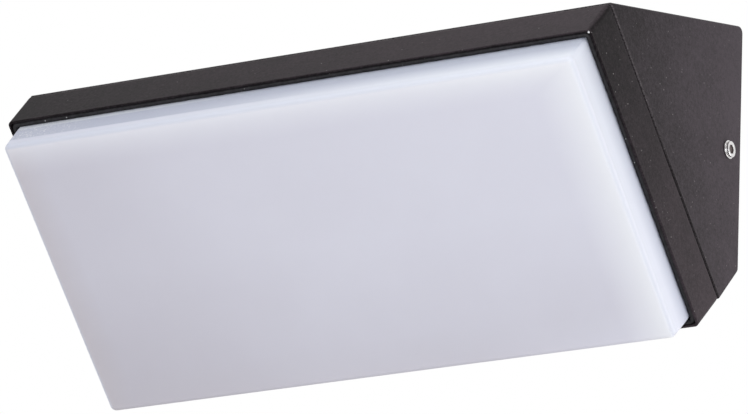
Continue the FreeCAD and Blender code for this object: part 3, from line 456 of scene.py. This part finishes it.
# Painted highlights along the right and upper rims.
right_rim = in_from_edge(across, FACE_HALF_WIDTH, RIGHT_RIM).maths("POWER", RIGHT_RIM_CURVE)
upper_rim = in_from_edge(up, FACE_HALF_HEIGHT, UPPER_RIM).maths("POWER", UPPER_RIM_CURVE)
upper_rim_share = (across.between(-FACE_HALF_WIDTH, 30.0 * MM) * 0.17
                   + across.between(50.0 * MM, 100.0 * MM) * 0.33 + 0.45)
rim_light = right_rim.maths("MAXIMUM", upper_rim * upper_rim_share)
rim_lit_face = opal.blend(rim_light, edged_face, tone(250, 250, 255))

# The walls with painted light along them, and the bends that join them to the face, with painted shade.
right_wall = in_from_edge(across, FACE_HALF_WIDTH, WALL)
walls = (in_from_edge(across.maths("ABSOLUTE"), FACE_HALF_WIDTH, WALL)
         .maths("MAXIMUM", in_from_edge(up, FACE_HALF_HEIGHT, WALL)))
# Painted light: the walls grow lighter along the tray's length.
wall_light = lengthways - right_wall * (0.8 - height_on_face * 0.45)
lit_wall_tone = opal.blend(wall_light, tone(216, 217, 230), tone(241, 245, 254))
walled = opal.blend(walls, rim_lit_face, lit_wall_tone)
right_bend = in_from_edge(across, FACE_HALF_WIDTH, RIGHT_BEND) * out.between(*RIGHT_BEND_RISE)
upper_bend = in_from_edge(up, FACE_HALF_HEIGHT, UPPER_BEND) * out.between(*UPPER_BEND_RISE)
# Painted shade: the bends are darker than the walls, lighter along the length and up the face.
bend_light = lengthways * (height_on_face * 0.5 + 0.5)
bend_shade_tone = opal.blend(bend_light, tone(203, 206, 217), tone(225, 227, 236))
bent = opal.blend((right_bend * 0.85).maths("MAXIMUM", upper_bend * 0.75), walled, bend_shade_tone)

# The foot of the walls with painted shade, a paler strip and lint.
# Painted shade: the foot of the walls by the frame, and a band up the upper wall, are darkened.
foot = (1 - out.between(*FOOT_RISE)) * (0.8 - height_on_face * 0.28)
soft_end = across.between(-60.0 * MM, 20.0 * MM)
above_shade = out.between(*SHARP_SHADE_RISE) * (1 - soft_end) + out.between(*SOFT_SHADE_RISE) * soft_end
upper_wall = in_from_edge(up, FACE_HALF_HEIGHT, UPPER_WALL)
shaded_band = upper_wall * (1 - above_shade)
foot_shaded = opal.blend(foot.maths("MAXIMUM", shaded_band * 0.7), bent, tone(174, 179, 196))
# A paler strip along the very foot of the upper wall, towards the far end.
pale_strip = upper_wall * (1 - out.between(*PALE_STRIP_RISE)) * (1 - across.between(-70.0 * MM, -10.0 * MM)) * 0.6
pale_stripped = opal.blend(pale_strip, foot_shaded, tone(228, 232, 238))
left_end = 1 - across.between(-108.0 * MM, -85.0 * MM)
mottle = opal.noise(0.5 * MM, 3.0, 0.6).between(0.5, 0.68) * shaded_band * left_end * 0.5
lint = opal.specks(1.3 * MM, 0.9 * MM, 0.6) * shaded_band * (left_end * 0.85 + 0.1)
opal.set("Base Color", opal.blend(lint.maths("MAXIMUM", mottle), pale_stripped, tone(248, 247, 246)))
opal.set("Roughness", haze * 0.08 + shaded_band * 0.1 + 0.46)
opal.bump(opal.noise(2.0 * MM, 2.0), 0.006 * MM)
dress(opal, "diffuser")


# Sealant: black silicone, gunned into the channel between frame and diffuser and left as it came,
# lumpy and dull, with crumbs of light dust stuck to it.

def chosen(piece):
    """Make one piece the only one that an operator acts on."""
    bpy.ops.object.select_all(action="DESELECT")
    piece.select_set(True)
    bpy.context.view_layer.objects.active = piece


def finish_modifier(piece, kind, **settings):
    """Add a modifier with its settings and apply it."""
    chosen(piece)
    modifier = piece.modifiers.new(kind.lower(), kind)
    for name, setting in settings.items():
        setattr(modifier, name, setting)
    bpy.ops.object.modifier_apply(modifier=modifier.name)


def add_flat_outline(name, half_width, half_height, corner, cuts):
    """Add a closed rectangle of edges, lying flat, with rounded corners and its sides cut finely."""
    bpy.ops.object.select_all(action="DESELECT")
    bpy.ops.mesh.primitive_plane_add(size=2.0)
    piece = bpy.context.object
    piece.name = name
    bpy.ops.object.mode_set(mode="EDIT")
    bpy.ops.mesh.select_all(action="SELECT")
    bpy.ops.transform.resize(value=(half_width, half_height, 1.0))
    bpy.ops.mesh.bevel(offset=corner, segments=6, affect="VERTICES")
    bpy.ops.mesh.select_all(action="SELECT")
    bpy.ops.mesh.delete(type="ONLY_FACE")
    bpy.ops.mesh.select_mode(type="EDGE")
    bpy.ops.mesh.select_all(action="DESELECT")
    bpy.ops.object.mode_set(mode="OBJECT")
    points = piece.data.vertices
    for edge in piece.data.edges:
        first, last = edge.vertices
        edge.select = (points[first].co - points[last].co).length > corner
    bpy.ops.object.mode_set(mode="EDIT")
    bpy.ops.mesh.subdivide(number_cuts=cuts)
    bpy.ops.object.mode_set(mode="OBJECT")


def to_slope(piece, out_of_seam):
    """Lay a piece that was made flat on the slope, a distance in front of the seam, and fix its place."""
    chosen(piece)
    piece.rotation_euler = (math.radians(90.0 + SLOPE_LEAN), 0.0, 0.0)
    piece.location = Vector(SEAM) + Vector(OUT_OF_SLOPE) * out_of_seam
    bpy.ops.object.transform_apply(location=True, rotation=True, scale=True)


BEAD_RADIUS, BEAD_SUNK = 1.1 * MM, 1.0 * MM
BEAD_HALF_WIDTH, BEAD_HALF_HEIGHT, BEAD_CORNER = 123.15 * MM, 59.9 * MM, 1.6 * MM
BEAD_CUTS = 320
LUMP_SIZE, LUMP_HEIGHT, LUMP_LEVEL = 1.6 * MM, 0.5 * MM, 0.62

add_flat_outline("silicone_bead", BEAD_HALF_WIDTH, BEAD_HALF_HEIGHT, BEAD_CORNER, BEAD_CUTS)
bpy.ops.object.convert(target="CURVE")
bead_line = bpy.context.object.data
bead_line.bevel_depth = BEAD_RADIUS
bead_line.bevel_resolution = 4
bpy.ops.object.convert(target="MESH")
bead = bpy.context.object
lumps = bpy.data.textures.new("bead_lumps", "CLOUDS")
lumps.noise_scale = LUMP_SIZE
lumps.noise_depth = 3
finish_modifier(bead, "DISPLACE", texture=lumps, texture_coords="LOCAL", strength=LUMP_HEIGHT,
                mid_level=LUMP_LEVEL)
bpy.ops.object.shade_smooth()
to_slope(bead, FRAME_FRONT - BEAD_SUNK)

silicone = Finish("black_silicone", specular_ior_level=0.3)
lump_tone = silicone.noise(1.6 * MM, 4.0, 0.65)
crumbs = silicone.specks(1.6 * MM, 0.6 * MM, 0.14)
cured = silicone.blend(lump_tone.between(0.35, 0.75), tone(9, 8, 10), tone(46, 44, 47))
silicone.set("Base Color", silicone.blend(crumbs, cured, tone(205, 203, 203)))
silicone.set("Roughness", lump_tone * 0.3 + 0.4)
silicone.bump(silicone.noise(0.5 * MM, 3.0, 0.6), 0.12 * MM)
cover(bead, silicone)
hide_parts("diffuser_sealant")
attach(bead, "light")


# Side screws: stainless M4 socket screws with low heads, threaded all the way, and split lock
# washers. They are bright, with painted shade inside each socket.

def pick_faces(piece, wanted):
    """Select faces by their normal, in edit mode's face mode."""
    chosen(piece)
    bpy.ops.object.mode_set(mode="EDIT")
    bpy.ops.mesh.select_mode(type="FACE")
    bpy.ops.mesh.select_all(action="DESELECT")
    bpy.ops.object.mode_set(mode="OBJECT")
    for face in piece.data.polygons:
        face.select = wanted(face.normal)
    bpy.ops.object.mode_set(mode="EDIT")


def round_edges(piece, width):
    """Break a piece's sharp edges by a small width."""
    finish_modifier(piece, "BEVEL", width=width, segments=2, limit_method="ANGLE",
                    angle_limit=math.radians(40.0))


def wound(name, section, pitch, turns, steps):
    """Closed section, as points out from the axis and up, swept round the upright axis as a helix."""
    bpy.ops.object.select_all(action="DESELECT")
    bpy.ops.mesh.primitive_circle_add(vertices=len(section), radius=1.0 * MM, fill_type="NOTHING")
    piece = bpy.context.object
    piece.name = name
    for corner, (radius, height) in zip(piece.data.vertices, section):
        corner.co = (radius, 0.0, height)
    finish_modifier(piece, "SCREW", axis="Z", angle=math.tau * turns, screw_offset=pitch * turns, steps=steps,
                    render_steps=steps, iterations=1, use_merge_vertices=False, use_smooth_shade=False)
    bpy.ops.object.mode_set(mode="EDIT")
    bpy.ops.mesh.select_mode(type="EDGE")
    bpy.ops.mesh.select_all(action="DESELECT")
    bpy.ops.mesh.select_non_manifold(extend=False, use_boundary=True, use_wire=False, use_multi_face=False,
                                     use_non_contiguous=False, use_verts=False)
    bpy.ops.mesh.edge_face_add()
    bpy.ops.mesh.select_all(action="SELECT")
    bpy.ops.mesh.normals_make_consistent(inside=False)
    bpy.ops.object.mode_set(mode="OBJECT")
    return piece


SIDE, SCREW_OUT = 125.5 * MM, 11.4 * MM
HEAD_RADIUS, HEAD_HEIGHT, HEAD_CROWN, HEAD_EDGE = 3.0 * MM, 1.0 * MM, 0.09 * MM, 0.07 * MM
SHOULDER_WIDTH, FLAT_WIDTH = 0.3 * MM, 0.5 * MM
DISH_WIDTH, DISH_DEPTH = 0.3 * MM, 0.16 * MM
SOCKET_ACROSS, SOCKET_DEPTH, SOCKET_TURN = 3.3 * MM, 0.85 * MM, 14.0
SOCKET_MOUTH = (1.92 * MM, 1.98 * MM)
CORE_RADIUS, CREST_RADIUS, SHANK_LENGTH = 1.64 * MM, 1.96 * MM, 10.0 * MM
TIP_LENGTH, TIP_TAPER = 0.5 * MM, 0.72
THREAD_PITCH, THREAD_TURNS, THREAD_STEPS, THREAD_START = 0.7 * MM, 12.2, 390, 0.45 * MM
CREST_HALF, ROOT_HALF, ROOT_SUNK = 0.05 * MM, 0.3 * MM, 0.1 * MM
WASHER_RADIUS, WASHER_HOLE, WASHER_THICKNESS = 3.5 * MM, 2.1 * MM, 0.68 * MM
SPLIT_RISE, SPLIT_TURNS, SPLIT_STEPS, WASHER_EDGE = 0.11 * MM, 0.965, 96, 0.09 * MM
WASHER_GAP, WASHER_SEAT, SPLIT_ROLL = 0.01 * MM, 0.8 * MM, 118.0
SMOOTH_BELOW = math.radians(32.0)

bpy.ops.object.select_all(action="DESELECT")
bpy.ops.mesh.primitive_cylinder_add(vertices=64, radius=HEAD_RADIUS, depth=HEAD_HEIGHT - HEAD_CROWN,
                                    location=(0, 0, (HEAD_HEIGHT - HEAD_CROWN) / 2))
screw = bpy.context.object
screw.name = "screw_head"
bpy.ops.object.transform_apply(location=True)
pick_faces(screw, lambda normal: normal.z > 0.9)
bpy.ops.mesh.inset(thickness=SHOULDER_WIDTH)
bpy.ops.transform.translate(value=(0, 0, HEAD_CROWN))
bpy.ops.mesh.inset(thickness=FLAT_WIDTH)
bpy.ops.mesh.inset(thickness=DISH_WIDTH)
bpy.ops.transform.translate(value=(0, 0, -DISH_DEPTH))
bpy.ops.object.mode_set(mode="OBJECT")
pick_faces(screw, lambda normal: normal.z < -0.9)
bpy.ops.mesh.inset(thickness=HEAD_RADIUS - CORE_RADIUS)
bpy.ops.mesh.extrude_region_move(TRANSFORM_OT_translate={"value": (0, 0, TIP_LENGTH - SHANK_LENGTH)})
bpy.ops.mesh.extrude_region_move(TRANSFORM_OT_translate={"value": (0, 0, -TIP_LENGTH)})
bpy.ops.transform.resize(value=(TIP_TAPER, TIP_TAPER, 1.0))
bpy.ops.object.mode_set(mode="OBJECT")
bpy.ops.object.select_all(action="DESELECT")
bpy.ops.mesh.primitive_cylinder_add(vertices=6, radius=SOCKET_ACROSS / math.sqrt(3), depth=SOCKET_DEPTH * 2,
                                    location=(0, 0, HEAD_HEIGHT))
key = bpy.context.object
key.rotation_euler = (0, 0, math.radians(SOCKET_TURN))
bpy.ops.object.transform_apply(location=True, rotation=True)
finish_modifier(screw, "BOOLEAN", operation="DIFFERENCE", object=key, solver="EXACT")
bpy.data.objects.remove(key)
round_edges(screw, HEAD_EDGE)

ridge = wound("screw_ridge", [(CORE_RADIUS - ROOT_SUNK, -ROOT_HALF), (CREST_RADIUS, -CREST_HALF),
                              (CREST_RADIUS, CREST_HALF), (CORE_RADIUS - ROOT_SUNK, ROOT_HALF)],
              THREAD_PITCH, THREAD_TURNS, THREAD_STEPS)
chosen(ridge)
ridge.location.z = THREAD_START - SHANK_LENGTH
bpy.ops.object.transform_apply(location=True)
screw.select_set(True)
bpy.context.view_layer.objects.active = screw
bpy.ops.object.join()
bpy.ops.object.shade_smooth_by_angle(angle=SMOOTH_BELOW)

ring = wound("lock_washer", [(WASHER_HOLE, 0.0), (WASHER_RADIUS, 0.0), (WASHER_RADIUS, WASHER_THICKNESS),
                             (WASHER_HOLE, WASHER_THICKNESS)], SPLIT_RISE, SPLIT_TURNS, SPLIT_STEPS)
round_edges(ring, WASHER_EDGE)
bpy.ops.object.shade_smooth_by_angle(angle=SMOOTH_BELOW)

HEAD_TOP = SIDE + WASHER_SEAT + HEAD_HEIGHT
stainless = Finish("bright_stainless", metallic=1.0)
turning = stainless.noise(0.35 * MM, 3.0, 0.6)
bright_steel = stainless.blend(turning, tone(206, 204, 204), tone(236, 235, 234))
height = stainless.along(UPWARD)
depth = stainless.along(TO_WALL, (0.0, -SCREW_OUT, 0.0))
from_axis = (height * height + depth * depth).maths("SQRT")
from_middle = stainless.along(ACROSS).maths("ABSOLUTE")
below_face = 1 - from_middle.between(HEAD_TOP - 0.4 * MM, HEAD_TOP - 0.2 * MM)
# Painted shade: the inside of the socket is darkened.
socket_shade = (1 - from_axis.between(*SOCKET_MOUTH)) * below_face
stainless.set("Base Color", stainless.blend(socket_shade * 0.85, bright_steel, tone(66, 48, 46)))
stainless.set("Roughness", turning * 0.14 + socket_shade * 0.3 + 0.1)
stainless.bump(turning, 0.006 * MM)

for side, sign in (("right", 1), ("left", -1)):
    for pattern, name, node, body, seat, roll in (
        (screw, "_socket_screw", "_side_screw", "_screw", SIDE + WASHER_SEAT, 0.0),
        (ring, "_lock_washer", "_screw_washer", "_washer", SIDE + WASHER_GAP, SPLIT_ROLL),
    ):
        piece = pattern.copy()
        piece.data = pattern.data.copy()
        piece.name = side + name
        bpy.context.scene.collection.objects.link(piece)
        chosen(piece)
        piece.rotation_euler = (0, 0, math.radians(roll))
        bpy.ops.object.transform_apply(rotation=True)
        piece.rotation_euler = (0, sign * math.radians(90.0), 0)
        piece.location = (sign * seat, -SCREW_OUT, 0.0)
        bpy.ops.object.transform_apply(location=True, rotation=True)
        cover(piece, stainless)
        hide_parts(side + node)
        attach(piece, side + body)
bpy.data.objects.remove(screw)
bpy.data.objects.remove(ring)


# The studio: a pale floor well below the light, white all round, and three soft lamps. The camera
# stands to the right of the light and below it.

def rays_that_see(tree):
    """1 on rays from the camera, from a mirror or through glass, and 0 on those that light."""
    camera_ray, mirror_ray, glass_ray = (
        tree.node("ShaderNodeLightPath", output=ray)
        for ray in ("Is Camera Ray", "Is Glossy Ray", "Is Transmission Ray"))
    return (camera_ray + mirror_ray + glass_ray).maths("MINIMUM", 1.0)


WHITE = (1.0, 1.0, 1.0)
FLOOR_DEPTH, FLOOR_SIZE, FLOOR_PALENESS = 5.6, 60.0, 0.6
bpy.ops.object.select_all(action="DESELECT")
bpy.ops.mesh.primitive_plane_add(size=FLOOR_SIZE, location=(0, 0, -FLOOR_DEPTH))
floor = bpy.context.object
floor.name = "floor"
floor_paint = Finish("pale_floor")
floor_tone = floor_paint.blend(floor_paint.noise(0.8), tone(232, 232, 232), tone(238, 238, 238))
floor_paint.set("Base Color", floor_tone)
floor_paint.set("Roughness", 0.8)
white_floor = floor_paint.node("ShaderNodeEmission", None, {"Color": WHITE, "Strength": 1.0})
paleness = rays_that_see(floor_paint) * FLOOR_PALENESS
floor_seen = floor_paint.node("ShaderNodeMixShader", None, {0: paleness, 1: floor_paint.look, 2: white_floor})
floor_paint.feed(floor_paint.surface, floor_seen)
cover(floor, floor_paint)
floor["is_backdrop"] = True

world = bpy.data.worlds.new("studio")
bpy.context.scene.world = world
world.use_nodes = True
sky = NodeTree(world.node_tree)
white_round = sky.node("ShaderNodeBackground", None, {"Color": WHITE, "Strength": 1.0})
light_round = sky.node("ShaderNodeBackground", None, {"Color": (0.95, 0.965, 1.0), "Strength": 0.6})
sky_seen = sky.node("ShaderNodeMixShader", None, {0: rays_that_see(sky), 1: light_round, 2: white_round})
sky.feed(sky.tree.nodes.new("ShaderNodeOutputWorld").inputs["Surface"], sky_seen)

MIDDLE = Vector((0.0, -0.06, -0.017))


def soft_lamp(name, place, size, power, color):
    """Square soft lamp at a place in metres, turned to the middle of the light."""
    lamp = bpy.data.lights.new(name, "AREA")
    lamp.size, lamp.energy, lamp.color = size, power, color
    holder = bpy.data.objects.new(name, lamp)
    holder.location = place
    holder.rotation_euler = (MIDDLE - Vector(place)).to_track_quat("-Z", "Y").to_euler()
    bpy.context.scene.collection.objects.link(holder)


soft_lamp("lamp_right", (0.44, 0.12, -0.14), 0.25, 0.9, (1.0, 0.99, 0.98))
soft_lamp("lamp_above", (0.2, -0.62, 0.66), 0.5, 1.7, WHITE)
soft_lamp("lamp_front", (0.3, -1.2, -0.5), 0.8, 7.35, (0.95, 0.97, 1.0))

camera_data = bpy.data.cameras.new("camera")
camera_data.sensor_width = 36.0
camera_data.lens = 306.877
camera_data.clip_start, camera_data.clip_end = 0.05, 60.0
camera = bpy.data.objects.new("camera", camera_data)
camera.location = (1.16473, -2.00333, -0.76403)
camera.rotation_euler = [math.radians(angle) for angle in (108.1861, -2.1166, 30.1868)]
bpy.context.scene.collection.objects.link(camera)
bpy.context.scene.camera = camera
bpy.context.scene.view_settings.view_transform = "Standard"

low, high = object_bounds()
